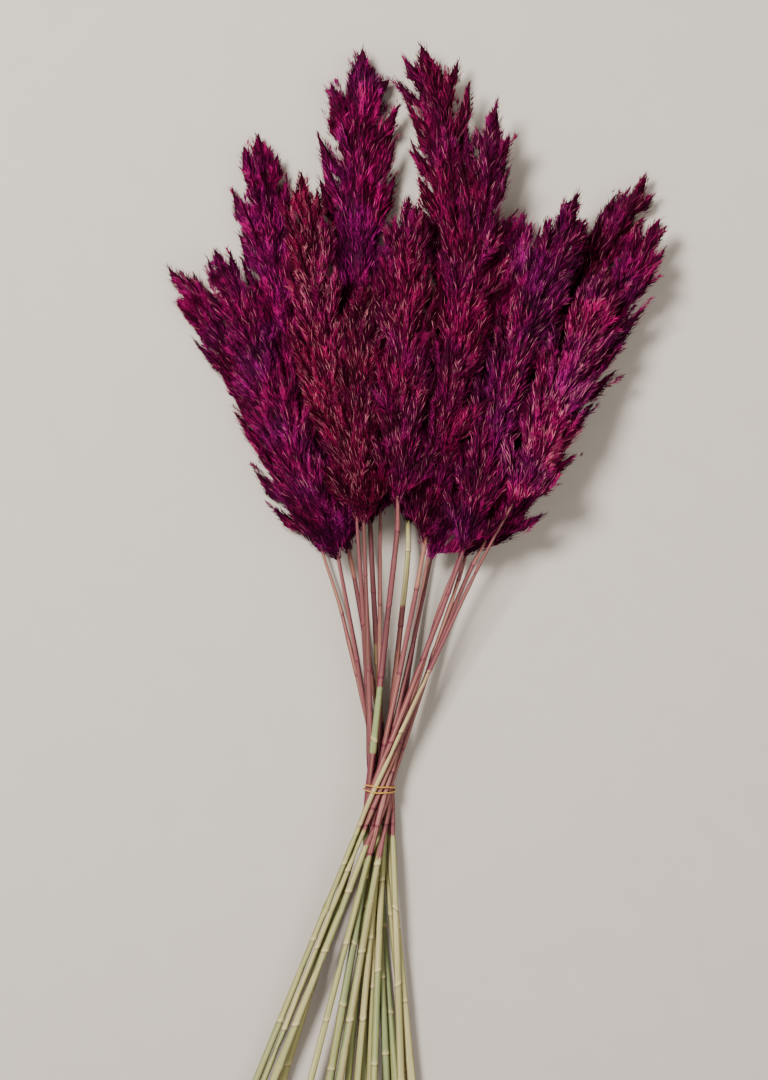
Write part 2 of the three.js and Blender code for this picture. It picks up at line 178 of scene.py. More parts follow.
# A ring this many times as wide as its neighbours is a joint, with a crease under it and a collar above it.
SWOLLEN = 1.045
RINGS_AT_JOINT = np.array([-1.8, -0.9, -0.4, -0.15, 0.1, 0.4, 1.0, 2.0, 3.2]) * MM
CREASE_BELOW = 0.1 * MM
CREASE_WIDTH = 0.75 * MM
CREASE_DEPTH = 0.06
COLLAR_ABOVE = 1.3 * MM
COLLAR_WIDTH = 1.5 * MM
COLLAR_SWELL = 0.07

# A sheath rises from each joint over a share of the way to the next.
SHEATH_SHARE = (0.4, 1.1)
SHEATH_THICKNESS = 0.11 * MM
RINGS_AT_SHEATH = np.array([-0.3, 0.0, 0.08, 0.5]) * MM

# Joints and the edges of sheaths slant to one side, each over a stretch of the stem, and less near its ends.
# An edge too close to an end doesn't slant.
JOINT_SLANT = 0.25
SHEATH_SLANT = 0.8
SLANT_RANGE = (0.4, 1.2)
SLANT_WIDTH = 5 * MM
SLANT_EASE = 6 * MM
SLANT_CLEAR = 8 * MM

# The loops that close an end: each one's share of the radius, how deep it lies and how dark it is. A cut end
# is hollow.
CLOSED_END = ((0.3, 0, 0.0),)
HOLLOW_END = ((0.2, 3 * MM, 0.0), (0.55, 2.5 * MM, 0.0), (0.62, 0, 0.9))

# Where the dye ends, which is higher on some stems than on others, and how ragged and how soft its edge is
DIP_LINE = -183 * MM
DYE_SHIFTS = np.array([0, 0, 1.5, 5, -3, -9, -17]) * MM
DYE_RAGGED = 1.2 * MM
DYE_EDGE = 2.5 * MM

# Where the dye has missed a stem: from, to, how much of it took, and the tone of the bare reed
MISSED = {
    "14": (-122 * MM, -72 * MM, 0.0, 0.22),
    "06": (-15 * MM, 60 * MM, 0.3, 0.95),
    "12": (-190 * MM, -60 * MM, 0.45, 0.75),
    "05": (-100 * MM, -40 * MM, 0.6, 0.9),
}

# Each plume's slot, what share of its tips are pale pink (partly where the dye has gone, partly a painted
# glint), how thickly it grows, and how bright its dye is, past which its painted shade is lessened instead.
# The three that lie under the others are thinner.
PLUMES = {
    "01": ("plume_magenta", 0.4, 1, 1.1),
    "02": ("plume_purple", 0.3, 1, 1.25),
    "03": ("plume_magenta", 0.2, 1, 1.4),
    "04": ("plume_dusty", 0.75, 1, 1.25),
    "05": ("plume_magenta", 0.2, 1, 1.4),
    "06": ("plume_burgundy", 0.3, 1, 1.25),
    "07": ("plume_burgundy", 0.4, 1, 1.15),
    "08": ("plume_purple", 0.75, 1, 3.2),
    "09": ("plume_purple", 0.45, 1, 1.1),
    "10": ("plume_burgundy", 0.45, 1, 0.9),
    "11": ("plume_purple", 0.25, 1, 1.25),
    "12": ("plume_magenta", 0.9, 1, 1.65),
    "13": ("plume_dusty", 0.55, 1, 0.7),
    "14": ("plume_burgundy", 0.5, 1, 1.15),
    "15": ("plume_magenta", 0.3, 0.6, 1),
    "16": ("plume_magenta", 0.3, 0.6, 1),
    "17": ("plume_purple", 0.3, 0.8, 1),
}

# Colours of the plumes: the painted shade at the root and the two dyes that mingle; then the pale tip, partly
# where the dye has gone and partly a painted glint
DYES = {
    "plume_magenta": ((0.016, 0.000, 0.005), (0.68, 0.004, 0.190), (0.48, 0.004, 0.225)),
    "plume_purple": ((0.014, 0.000, 0.006), (0.57, 0.005, 0.170), (0.42, 0.005, 0.207)),
    "plume_burgundy": ((0.016, 0.000, 0.004), (0.54, 0.007, 0.135), (0.43, 0.007, 0.165)),
    "plume_dusty": ((0.016, 0.000, 0.004), (0.56, 0.010, 0.115), (0.48, 0.006, 0.145)),
}
PALE_TIP_AND_GLINT = (0.88, 0.30, 0.34)

# The most red that a dye may have, and how steeply a plume darkens where it gets less light
MOST_RED = 0.95
SHADING = 1.5

# Tones of the reeds, from the darkest section to the palest
DYED_REED = (
    (0.10, 0.008, 0.028),
    (0.15, 0.020, 0.048),
    (0.21, 0.036, 0.066),
    (0.27, 0.058, 0.084),
    (0.35, 0.095, 0.100),
    (0.50, 0.230, 0.145),
)
PLAIN_REED = (
    (0.25, 0.32, 0.13),
    (0.34, 0.42, 0.17),
    (0.42, 0.44, 0.15),
    (0.56, 0.50, 0.19),
    (0.66, 0.57, 0.24),
    (0.84, 0.72, 0.40),
)

# Streaks tint a reed. The marks cover it in turn: how strongly each shows, and its colour.
DYED_STREAKS = (0.46, 0.24, 0.36)
DYED_MARKS = {
    "lines": (0.8, (0.16, 0.018, 0.038)),
    "pale": (0.45, (0.64, 0.29, 0.18)),
    "collar": (0.4, (0.30, 0.04, 0.08)),
    "crease": (1.0, (0.13, 0.003, 0.035)),
}
PLAIN_STREAKS = (0.62, 0.66, 0.48)
PLAIN_MARKS = {
    "lines": (0.6, (0.36, 0.22, 0.12)),
    "patches": (0.7, (0.33, 0.19, 0.09)),
    "collar": (0.65, (0.88, 0.72, 0.34)),
    "crease": (0.7, (0.20, 0.13, 0.06)),
}

# The upper side of a reed gets a little painted highlight, and the lower side painted shade.
TOP_HIGHLIGHT = 0.16
DYED_TOP_HIGHLIGHT = (0.60, 0.31, 0.21)
PLAIN_TOP_HIGHLIGHT = (0.92, 0.80, 0.40)
LOWER_SHADE = (0.26, 0.15, 0.17)

BAND_YELLOWS = ((0.70, 0.36, 0.04), (0.56, 0.25, 0.02))
BAND_SHEEN = (0.78, 0.46, 0.09)
BAND_ROUNDING = 2
FLOOR_TONES = ((0.70, 0.61, 0.51), (0.74, 0.65, 0.55))
FLOOR_HALF = 30.0
ROOM_COLOUR = (1.0, 0.98, 0.95)
ROOM_LIGHT = 0.29

# The view is from straight above. At this level, inside the bundle, it takes in the photo's rows of pixels.
PIXEL = 0.74 * MM
VIEW_ROWS = 1080
VIEW_MIDDLE = (-22.2 * MM, 35.9 * MM)
VIEW_LEVEL = 30 * MM
LENS = 90.0
SENSOR = 36.0

# Where the random draws start: for a plume, for each length of a stem, and for what both lengths share
PLUME_SEED = 900
STEM_SEED = 300
CULM_SEED = 600
PAIR_SEED = 40


# Arrays and meshes


def unit(vectors):
    lengths = np.linalg.norm(vectors, axis=-1, keepdims=True)
    return vectors / np.maximum(lengths, 1e-9)


def cad_arrays(name):
    """The welded corners and the triangles of a CAD node."""
    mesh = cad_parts[name].data
    corners = np.empty(len(mesh.vertices) * 3)
    mesh.vertices.foreach_get("co", corners)
    mesh.calc_loop_triangles()
    triangles = np.empty(len(mesh.loop_triangles) * 3, dtype=np.int64)
    mesh.loop_triangles.foreach_get("vertices", triangles)
    corners = np.round(corners.reshape(-1, 3), WELD_DECIMALS)
    corners, place = np.unique(corners, axis=0, return_inverse=True)
    return corners, place.reshape(-1)[triangles].reshape(-1, 3)


def make_object(name, corners, triangles, tone, material, smooth=False, strip=None, dye=None):
    mesh = bpy.data.meshes.new(name)
    mesh.from_pydata(corners.tolist(), [], triangles.tolist())
    mesh.update()
    layer = mesh.color_attributes.new("tone", "FLOAT_COLOR", "POINT")
    layer.data.foreach_set("color", np.ascontiguousarray(tone, dtype=np.float32).ravel())
    if strip is not None:
        layer = mesh.attributes.new("strip", "FLOAT_VECTOR", "POINT")
        layer.data.foreach_set("vector", np.ascontiguousarray(strip, dtype=np.float32).ravel())
        layer = mesh.attributes.new("dye", "FLOAT", "POINT")
        layer.data.foreach_set("value", np.ascontiguousarray(dye, dtype=np.float32).ravel())
    if smooth:
        mesh.polygons.foreach_set("use_smooth", np.ones(len(mesh.polygons), dtype=bool))
    mesh.materials.append(material)
    made = bpy.data.objects.new(name, mesh)
    bpy.context.scene.collection.objects.link(made)
    return made


def stand_for(piece, node):
    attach(piece, "root")
    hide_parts(node)


# Materials


class Nodes:
    """Short ways to lay out a material's nodes."""

    # The colour sockets of a mix node: its factor, its two colours and its result
    MIX_FACTOR = 0
    MIX_FIRST = 6
    MIX_SECOND = 7
    MIX_RESULT = 2

    def __init__(self, name):
        self.material = bpy.data.materials.new(name)
        self.material.use_nodes = True
        self.tree = self.material.node_tree
        self.shader = self.tree.nodes["Principled BSDF"]

    def set(self, socket, value):
        if isinstance(value, bpy.types.NodeSocket):
            self.tree.links.new(value, socket)
        elif isinstance(value, tuple) and len(value) == 3 and socket.type == "RGBA":
            socket.default_value = (*value, 1)
        else:
            socket.default_value = value

    def math(self, operation, *values, clamp=False):
        node = self.tree.nodes.new("ShaderNodeMath")
        node.operation = operation
        node.use_clamp = clamp
        for socket, value in zip(node.inputs, values):
            self.set(socket, value)
        return node.outputs[0]

    def between(self, value, low, high):
        node = self.tree.nodes.new("ShaderNodeMapRange")
        node.interpolation_type = "SMOOTHSTEP"
        self.set(node.inputs["Value"], value)
        self.set(node.inputs["From Min"], low)
        self.set(node.inputs["From Max"], high)
        return node.outputs["Result"]

    def swing(self, value, middle, strength):
        """How far a value is from a middle one, either way, times a strength."""
        return self.math("MULTIPLY", self.math("SUBTRACT", value, middle), strength)

    def mix(self, factor, a, b, blend="MIX"):
        node = self.tree.nodes.new("ShaderNodeMix")
        node.data_type = "RGBA"
        node.blend_type = blend
        self.set(node.inputs[self.MIX_FACTOR], factor)
        self.set(node.inputs[self.MIX_FIRST], a)
        self.set(node.inputs[self.MIX_SECOND], b)
        return node.outputs[self.MIX_RESULT]

    def tinted(self, colour, tint):
        return self.mix(1.0, colour, tint, "MULTIPLY")

    def ramp(self, value, colours):
        node = self.tree.nodes.new("ShaderNodeValToRGB")
        self.set(node.inputs[0], value)
        elements = node.color_ramp.elements
        for i in range(1, len(colours) - 1):
            elements.new(i / (len(colours) - 1))
        for element, colour in zip(elements, colours):
            element.color = (*colour, 1)
        return node.outputs[0]

    def attribute(self, name):
        node = self.tree.nodes.new("ShaderNodeAttribute")
        node.attribute_name = name
        return node

    def parts(self, name):
        node = self.tree.nodes.new("ShaderNodeSeparateColor")
        self.set(node.inputs[0], self.attribute(name).outputs["Color"])
        return node.outputs

    def place(self):
        return self.tree.nodes.new("ShaderNodeTexCoord").outputs["Object"]

    def scaled(self, vector, scale):
        node = self.tree.nodes.new("ShaderNodeMapping")
        self.set(node.inputs["Vector"], vector)
        node.inputs["Scale"].default_value = scale
        return node.outputs[0]

    def noise(self, vector, scale, detail=3.0, roughness=0.55):
        node = self.tree.nodes.new("ShaderNodeTexNoise")
        self.set(node.inputs["Vector"], vector)
        node.inputs["Scale"].default_value = scale
        node.inputs["Detail"].default_value = detail
        node.inputs["Roughness"].default_value = roughness
        return node.outputs["Fac"]

    def finish(self, colour, roughness, shine=0.5):
        """The material, with these looks."""
        self.set(self.shader.inputs["Base Color"], colour)
        self.set(self.shader.inputs["Roughness"], roughness)
        self.set(self.shader.inputs["Specular IOR Level"], shine)
        return self.material

    def bump(self, height, distance, strength):
        node = self.tree.nodes.new("ShaderNodeBump")
        node.inputs["Strength"].default_value = strength
        node.inputs["Distance"].default_value = distance
        self.set(node.inputs["Height"], height)
        self.set(self.shader.inputs["Normal"], node.outputs[0])


def plume_material(name, slot, pale_tips, strength):
    """Painted shade at each spikelet's root and deep among them; dyed along it; pale at some tips, partly a
    painted glint.

    A dye that can't be brighter is shaded less instead.
    """
    root, *dyes = DYES[slot]
    brightest = MOST_RED / dyes[0][0]
    shading = SHADING * min(1.0, brightest / strength)
    strength = min(strength, brightest)
    dye, other_dye = (tuple(part * strength for part in colour) for colour in dyes)
    made = Nodes(name)
    along, own, light = made.parts("tone")[:3]
    patches = made.between(made.noise(made.place(), scale=26.0, detail=2.0), 0.40, 0.62)
    shade = made.between(made.noise(made.place(), scale=60.0, detail=2.0), 0.32, 0.62)
    dyed = made.mix(patches, dye, other_dye)
    body = made.mix(made.between(along, -0.2, 0.5), root, dyed)
    lit = made.math("MULTIPLY", light, made.math("MULTIPLY_ADD", shade, 0.5, 0.6))
    body = made.mix(made.math("POWER", lit, shading), root, body)
    # Some tips are pale: partly where the dye has gone, and partly a painted glint, which shows only where
    # the painted light is strong.
    chosen = made.between(own, 1.0 - 0.55 * pale_tips, 1.05 - 0.25 * pale_tips)
    pale_end = made.math("MULTIPLY", made.between(along, 0.3, 0.9), chosen)
    bare = made.math("MULTIPLY", pale_end, made.between(light, 0.3, 0.7))
    return made.finish(made.mix(bare, body, PALE_TIP_AND_GLINT), roughness=0.7, shine=0.06)


def reed_colour(made, tone, tones, masks, streaks, marks):
    """A place on a ramp of tones, tinted by streaks and then covered by each mark where its mask is."""
    colour = made.ramp(tone, tones)
    colour = made.mix(masks["unstreaked"], made.tinted(colour, streaks), colour)
    for mark, (strength, tint) in marks.items():
        colour = made.mix(made.math("MULTIPLY", masks[mark], strength), colour, tint)
    return colour


def reed_material(name):
    """A dry reed, dyed as far as its dye attribute says, with a crease and a collar at each joint."""
    made = Nodes(name)
    crease, own, sheathed = made.parts("tone")[:3]
    strip = made.attribute("strip").outputs["Vector"]
    fine = made.noise(made.scaled(strip, (1.5, 1.5, 6.0)), scale=1.6, detail=5.0, roughness=0.65)
    broad = made.noise(made.scaled(strip, (1.1, 1.1, 7.0)), scale=1.3)
    grain = made.noise(made.scaled(strip, (2.0, 2.0, 2.6)), scale=1.2)
    masks = {
        "unstreaked": made.between(fine, 0.40, 0.56),
        "lines": made.between(grain, 0.54, 0.62),
        "pale": made.math("SUBTRACT", 1.0, made.between(grain, 0.38, 0.46)),
        "patches": made.between(broad, 0.60, 0.72),
        "collar": made.attribute("tone").outputs["Alpha"],
        "crease": crease,
    }
    own = made.math("ADD", own, made.math("MULTIPLY", sheathed, 0.12))
    own = made.math("ADD", own, made.swing(broad, 0.5, 0.9), clamp=True)
    streaked = made.math("ADD", own, made.swing(grain, 0.58, 2.0), clamp=True)
    dyed = reed_colour(made, own, DYED_REED, masks, DYED_STREAKS, DYED_MARKS)
    plain = reed_colour(made, streaked, PLAIN_REED, masks, PLAIN_STREAKS, PLAIN_MARKS)
    dye = made.math("ADD", made.attribute("dye").outputs["Fac"], made.swing(broad, 0.5, 1.6))
    took = made.between(dye, 0.25, 0.75)
    colour = made.mix(took, plain, dyed)

    side = made.tree.nodes.new("ShaderNodeSeparateXYZ")
    made.set(side.inputs[0], strip)
    up = side.outputs[1]
    # Painted shade on the lower side of the reed, then a little painted highlight on its upper side
    colour = made.mix(made.between(up, -0.35, 0.85), made.tinted(colour, LOWER_SHADE), colour)
    top_highlight = made.math("MULTIPLY", made.between(up, 0.7, 0.98), TOP_HIGHLIGHT)
    colour = made.mix(top_highlight, colour, made.mix(took, PLAIN_TOP_HIGHLIGHT, DYED_TOP_HIGHLIGHT))
    made.bump(fine, distance=0.3 * MM, strength=0.7)
    return made.finish(colour, roughness=made.math("MULTIPLY_ADD", fine, 0.25, 0.42), shine=0.35)


def band_material():
    made = Nodes("band_elastic")
    grain = made.noise(made.place(), scale=900.0)
    patches = made.noise(made.place(), scale=160.0, detail=2.0)
    colour = made.mix(made.between(patches, 0.35, 0.65), *BAND_YELLOWS)
    colour = made.mix(made.between(grain, 0.3, 0.8), colour, BAND_SHEEN)
    made.bump(grain, distance=0.1 * MM, strength=0.4)
    return made.finish(colour, roughness=0.45)


# Plumes


def blades(start, way, up, length, width, roll):
    """A blade for each row, folded along its middle: four corners and two triangles."""
    side = unit(np.cross(way, up))
    lift = np.cross(side, way)
    turned = side * np.cos(roll)[:, None] + lift * np.sin(roll)[:, None]
    lift = np.cross(turned, way)
    middle = start + way * (length * BLADE_WIDEST)[:, None] - lift * (width * BLADE_FOLD)[:, None]
    half = turned * (width / 2)[:, None]
    tip = start + way * length[:, None]
    corners = np.stack([start, middle + half, tip, middle - half], axis=1).reshape(-1, 3)
    triangles = (np.arange(len(start)) * 4)[:, None, None] + np.array([[0, 1, 2], [0, 2, 3]])
    return corners, triangles.reshape(-1, 3)


class Plume:
    """A plume's CAD solid, read as the surface that its spikelets grow over."""

    def __init__(self, node, seed):
        self.random = np.random.default_rng(seed)
        self.corners, self.faces = cad_arrays(node)
        a, b, c = (self.corners[self.faces[:, i]] for i in range(3))
        cross = np.cross(b - a, c - a)
        size = np.linalg.norm(cross, axis=1)
        self.origin, self.edges = a, (b - a, c - a)
        self.normals = cross / np.maximum(size, 1e-12)[:, None]

        # Spots are drawn by area, more often on the faces that look up.
        upward = np.clip(self.normals[:, 2] * TURNING_UP + SIDEWAYS, 0, 1)
        chance = size * (LOWER_CHANCE + (1 - LOWER_CHANCE) * upward)
        self.chance = chance / chance.sum()
        spots = self.scatter(OUTLINE_SPOTS)[0]
        self.low, self.high = spots[:, 1].min(), spots[:, 1].max()
        self.fits = [np.polyfit(spots[:, 1], spots[:, i], AXIS_DEGREE) for i in (0, 2)]
        self.length = float(self.high - self.low)
        self.surface = BVHTree.FromPolygons(self.corners.tolist(), self.faces.tolist())
        self.measure(spots)

    def axis(self, y):
        """The middle of the plume at a height, with the ways along, across and up from it."""
        middle = np.stack([np.polyval(self.fits[0], y), y, np.polyval(self.fits[1], y)], axis=-1)
        slopes = [np.polyval(np.polyder(fit), y) for fit in self.fits]
        tangent = unit(np.stack([slopes[0], np.ones_like(y), slopes[1]], axis=-1))
        side = unit(np.stack([tangent[..., 1], -tangent[..., 0], np.zeros_like(y)], axis=-1))
        return middle, tangent, side, np.cross(side, tangent)

    def measure(self, spots):
        """How far the plume reaches on each side, below and above, from its base to its tip."""
        middle, _, side, rise = self.axis(spots[:, 1])
        across = np.sum((spots - middle) * side, axis=1)
        up = np.sum((spots - middle) * rise, axis=1)
        self.steps = np.linspace(0, 1, OUTLINE_STEPS)
        place = np.round(self.share(spots) * (OUTLINE_STEPS - 1))
        self.reaches = []
        for offset in (across, -across, up, -up):
            parts = [offset[place == step] for step in range(OUTLINE_STEPS)]
            reach = [np.percentile(part, OUTLINE_PERCENTILE) for part in parts]
            padded = np.concatenate([reach[:1], reach, reach[-1:]])
            self.reaches.append(np.maximum((padded[:-2] + 2 * padded[1:-1] + padded[2:]) / 4, 0))

    def edge(self, share, angle):
        """How far the outline is across and up from the middle in the direction of the angle."""
        right, left, top, bottom = (np.interp(share, self.steps, reach) for reach in self.reaches)
        across = np.cos(angle) * np.where(np.cos(angle) > 0, right, left)
        return across, np.sin(angle) * np.where(np.sin(angle) > 0, top, bottom)

    def scatter(self, count):
        """Random spots on the surface, with its normals there."""
        pick = self.random.choice(len(self.faces), count, p=self.chance)
        u, v = self.random.random((2, count))
        over = u + v > 1
        u[over], v[over] = 1 - u[over], 1 - v[over]
        spots = self.origin[pick] + u[:, None] * self.edges[0][pick] + v[:, None] * self.edges[1][pick]
        return spots, self.normals[pick]

    def clearance(self, spots):
        """How far each spot stands off the surface; below zero inside."""
        found = np.empty(len(spots))
        for i, spot in enumerate(spots.tolist()):
            nearest, normal, _, distance = self.surface.find_nearest(spot)
            off = sum((spot[axis] - nearest[axis]) * normal[axis] for axis in range(3))
            found[i] = distance if off > 0 else -distance
        return found

    def share(self, spots):
        """How far along the plume each spot is, from 0 at its base to 1 at its tip."""
        return np.clip((spots[:, 1] - self.low) / self.length, 0, 1)

    def flow(self, spots, normals, lift, jitter):
        """The way that a spikelet points: along the plume and away from its middle."""
        centre, tangent, _, _ = self.axis(spots[:, 1])
        out = spots - centre
        out -= tangent * np.sum(out * tangent, axis=1, keepdims=True)
        far = np.clip(np.linalg.norm(out, axis=1, keepdims=True) / FLARE_REACH, 0, FLARE_MOST)
        way = tangent + unit(out) * FLARE * far + normals * lift
        return unit(way + self.random.normal(size=spots.shape) * jitter)


def spikelets_on(random, root, bend, tip, outward, bare):
    """Spikelets all round branches that run from root to tip by way of bend, past the bare part."""
    count = len(root)
    along = bare + (1 - bare) * random.random((count, SPIKELETS_ON_BRANCH)) ** GATHERING
    part = along[..., None]
    root, bend, tip = root[:, None], bend[:, None], tip[:, None]
    spots = (1 - part) ** 2 * root + 2 * part * (1 - part) * bend + part**2 * tip
    ways = unit((1 - part) * (bend - root) + part * (tip - bend))
    around = random.normal(size=spots.shape)
    around -= ways * np.sum(around * ways, axis=-1, keepdims=True)
    around = unit(around)
    radius = BRANCH_RADIUS * (1 - BRANCH_NARROWS * along) * random.uniform(BRANCH_CORE, 1, along.shape)
    spots = spots + around * radius[..., None]
    heading = unit(ways + around * BRANCH_FLARE + random.normal(size=spots.shape) * BRANCH_JITTER)

    # Half of a spikelet's own tone is its branch's.
    own = 0.5 * random.random((count, 1)) + 0.5 * random.random(along.shape)
    upper = np.sum(around * outward[:, None], axis=-1)
    light = (ROOT_LIGHT + (1 - ROOT_LIGHT) * along) * (1 - LOWER_LOSS + LOWER_LOSS * upper)
    light = light * random.uniform(*BRANCH_LIGHT, (count, 1)) * random.uniform(*SPIKELET_LIGHT, along.shape)
    return spots.reshape(-1, 3), heading.reshape(-1, 3), around.reshape(-1, 3), own.ravel(), light.ravel()


def outer_branches(plume, density):
    """Short side branches that lift off the surface and bend outwards."""
    random = plume.random
    count = int(plume.length * BRANCHES_PER_METRE * density)
    spots, normals = plume.scatter(count)
    ways = plume.flow(spots, normals, **BRANCH_FLOW)
    lengths = random.uniform(*BRANCH_LENGTH, count) * (1 - BRANCH_SHORTENS * plume.share(spots))
    ways = ways * lengths[:, None]
    root = spots - ways * BRANCH_SUNK
    tip = spots + ways * (1 - BRANCH_SUNK) + normals * BRANCH_TIP_OFF
    bend = (root + tip) / 2 + normals * BRANCH_MIDDLE_OFF
    return spikelets_on(random, root, bend, tip, normals, 0.0)


def inner_branches(plume, density):
    """Branches that rise from the middle to just inside the outline."""
    random = plume.random
    count = int(plume.length * INNER_BRANCHES_PER_METRE * density)
    lengths = random.uniform(*INNER_BRANCH_LENGTH, count)
    angle = random.uniform(0, 2 * math.pi, count)
    top = plume.low + plume.length * random.uniform(*INNER_BRANCH_TOPS, count)
    root = plume.axis(np.maximum(top - lengths, plume.low + INNER_BRANCH_ROOM))[0]
    ends = []
    for part, spread in (INNER_BRANCH_BEND, (1.0, 1.0)):
        y = root[:, 1] + (top - root[:, 1]) * part
        middle, _, side, rise = plume.axis(y)
        across, up = plume.edge((y - plume.low) / plume.length, angle)
        full = (spread * random.uniform(*INNER_BRANCH_OUT, count))[:, None]
        ends.append(middle + (side * across[:, None] + rise * up[:, None]) * full)
    bend, tip = ends
    outward = unit(tip - plume.axis(tip[:, 1])[0])
    return spikelets_on(random, root, bend, tip, outward, INNER_BRANCH_BARE)


def surface_spikelets(plume, density):
    """Spikelets close to the surface, with more painted shade as they lie deeper."""
    random = plume.random
    count = int(plume.length * SPIKELETS_PER_METRE * density)
    spots, normals = plume.scatter(count)
    ways = plume.flow(spots, normals, **SPIKELET_FLOW)
    ups = unit(normals + SURFACE_TILT * random.normal(size=normals.shape))
    depth = random.random(count)
    spots = spots + normals * ((depth - 0.5) * SURFACE_DEPTH)[:, None]
    deepest, lightest = SURFACE_LIGHT
    light = deepest + (lightest - deepest) * depth**2
    return spots, ways, ups, random.random(count) * SURFACE_OWN, light


def hairs(plume, density):
    """Fine hairs that stand a little clear of the spikelets."""
    random = plume.random
    count = int(plume.length * HAIRS_PER_METRE * density)
    spots, normals = plume.scatter(count)
    ways = plume.flow(spots, normals, **HAIR_FLOW)
    spots = spots + normals * (random.random(count) * SURFACE_DEPTH)[:, None]
    return spots, ways, normals, random.uniform(*HAIR_OWN, count), random.uniform(*HAIR_LIGHT, count)


def grow(plume, sprouts, lengths, widths):
    """The blades of a layer, with how far along each corner is, each blade's own tone and its light."""
    random = plume.random
    spots, ways, ups, own, light = sprouts
    length = random.uniform(*lengths, len(spots))
    width = random.uniform(*widths, len(spots))
    roll = random.normal(size=len(spots)) * BLADE_ROLL
    start = spots - ways * (length * BLADE_SUNK)[:, None]
    middle, _, _, rise = plume.axis(start[:, 1])
    height = np.sum((start - middle) * rise, axis=1)
    off = plume.clearance(start)
    kept = (off < STRAY) | ((light > SHADED) & (off < FARTHER))
    kept &= start[:, 1] > plume.low - HANG
    light = light * np.interp(height, CROWN_HEIGHTS, CROWN_LIGHT)
    light = light * np.interp(plume.share(start), (0, BASE_SHARE), (BASE_LIGHT, 1))
    own, light, off = own[kept], light[kept], off[kept]
    corners, triangles = blades(start[kept], ways[kept], ups[kept], length[kept], width[kept], roll[kept])
    bare_root = np.clip(off / STRAY, 0, 1)
    light = np.maximum(light, BARE_LIGHT * bare_root)
    tone = np.ones((len(off), 4, 4))
    tone[..., 0] = BLADE_ALONG
    tone[:, 0, 0] = BARE_ALONG * bare_root
    tone[..., 1] = own[:, None]
    tone[..., 2] = light[:, None]
    return corners, triangles, tone.reshape(-1, 4)


def dense_inside(plume):
    """The CAD solid drawn in a little and given painted shade, so that nothing shows through the spikelets.
    """
    outward = np.zeros_like(plume.corners)
    for i in range(3):
        np.add.at(outward, plume.faces[:, i], plume.normals)
    corners = plume.corners - unit(outward) * INSIDE_DEPTH
    return corners, plume.faces, np.tile(INSIDE_TONE, (len(corners), 1))


def build_plume(number, slot, pale_tips, density, strength, seed):
    plume = Plume(f"plume_{number}", seed)
    layers = [
        (outer_branches(plume, density), SPIKELET_LENGTH, SPIKELET_WIDTH),
        (inner_branches(plume, density), SPIKELET_LENGTH, SPIKELET_WIDTH),
        (surface_spikelets(plume, density), SPIKELET_LENGTH, SPIKELET_WIDTH),
        (hairs(plume, density), HAIR_LENGTH, HAIR_WIDTH),
    ]
    grown = [grow(plume, *layer) for layer in layers]
    all_corners, all_triangles, all_tone = zip(*grown, dense_inside(plume))
    firsts = np.cumsum([0, *map(len, all_corners)])
    triangles = np.concatenate([part + first for part, first in zip(all_triangles, firsts)])
    corners = np.concatenate(all_corners)
    corners[:, 2] = np.maximum(corners[:, 2], FLOOR_GAP)
    material = plume_material(f"dyed_plume_{number}", slot, pale_tips, strength)
    made = make_object(f"spikelets_{number}", corners, triangles, np.concatenate(all_tone), material)
    stand_for(made, f"plume_{number}")


# Stems


def rings_of(node):
    """The height, middle and radius of each ring of corners on a stem's CAD solid."""
    corners, _ = cad_arrays(node)
    heights = np.round(corners[:, 1], RING_DECIMALS)
    rings = []
    for height in np.unique(heights):
        ring = corners[heights == height]
        if len(ring) >= RING_CORNERS:
            middle = ring.mean(axis=0)
            radius = np.linalg.norm((ring - middle)[:, [0, 2]], axis=1).mean()
            rings.append((height, middle[0], middle[2], radius))
    return np.array(rings)


def smooth_between(y, ys, values):
    """A curve through the values that keeps its slope from one to the next."""
    slopes = np.gradient(values, ys)
    i = np.clip(np.searchsorted(ys, y) - 1, 0, len(ys) - 2)
    span = ys[i + 1] - ys[i]
    t = np.clip((y - ys[i]) / span, 0, 1)
    start = (1 + 2 * t) * (1 - t) ** 2 * values[i] + t * (1 - t) ** 2 * slopes[i] * span
    end = t * t * (3 - 2 * t) * values[i + 1] + t * t * (t - 1) * slopes[i + 1] * span
    return start + end


def bumps(y, spots, width):
    """For each spot in turn, a smooth bump of the given half-width."""
    return [np.exp(-(((y - spot) / width) ** 2)) for spot in spots]


def stem_course(node, cut_end):
    """The heights, middles and radii of a stem's rings; a dyed length runs on into its plume."""
    rings = rings_of(node)
    if not cut_end:
        ahead = rings[-1] + (rings[-1] - rings[-3]) * IN_PLUME / (rings[-1, 0] - rings[-3, 0])
        rings = np.vstack([rings, [*ahead[:3], rings[-1, 3]]])
    return rings.T


def joints_along(ys, radii):
    """The heights of the joints, and what the radii would be without them."""
    beside = (radii[:-2] + radii[2:]) / 2
    swollen = np.concatenate([[False], radii[1:-1] > beside * SWOLLEN, [False]])
    return ys[swollen], np.interp(ys, ys[~swollen], radii[~swollen])


def heights_along(low, high, joints, sheath_ends):
    """Even steps along a stem, with closer ones at its ends, its joints and the edges of its sheaths."""
    heights = [np.arange(low, high, STEM_STEP), [low + END_STEP, high - END_STEP, high]]
    heights += [joint + RINGS_AT_JOINT for joint in joints]
    heights += [end + RINGS_AT_SHEATH for end in sheath_ends]
    y = np.unique(np.round(np.concatenate(heights), STEP_DECIMALS))
    return y[(y >= low) & (y <= high)]


def shape_joints(y, radius, joints):
    """The radius, narrowed by each crease and widened by each collar, with how much of both there is."""
    crease, collar = np.zeros_like(y), np.zeros_like(y)
    dips = bumps(y, joints - CREASE_BELOW, CREASE_WIDTH)
    swells = bumps(y, joints + COLLAR_ABOVE, COLLAR_WIDTH)
    for dip, swell in zip(dips, swells):
        radius = radius * (1 + COLLAR_SWELL * swell) * (1 - CREASE_DEPTH * dip)
        crease = np.maximum(crease, dip)
        collar = np.maximum(collar, swell)
    return radius, crease, collar


